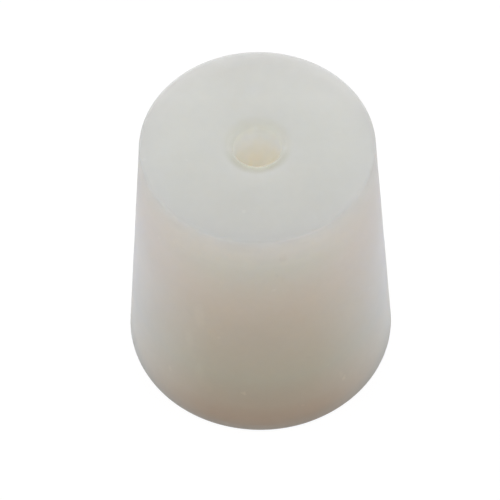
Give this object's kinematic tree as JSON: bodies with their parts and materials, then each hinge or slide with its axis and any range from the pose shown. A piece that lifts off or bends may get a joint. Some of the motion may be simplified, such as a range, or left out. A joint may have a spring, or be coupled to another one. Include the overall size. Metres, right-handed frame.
{
  "type": "rubber stopper",
  "caption": "Tapered round stopper of milky soft silicone with a straight hole along its axis for a tube, standing on its large end.",
  "frame": {"origin": "centre of the large end's face, which the stopper stands on", "axes": "+Z along the hole, from the large end up to the small end; X and Y are any pair across it, because the stopper is round"},
  "size_m": [0.025, 0.025, 0.0284],
  "materials": {
    "silicone": "satin"
  },
  "bodies": {
    "root": {"stopper": "silicone"}
  },
  "joints": []
}
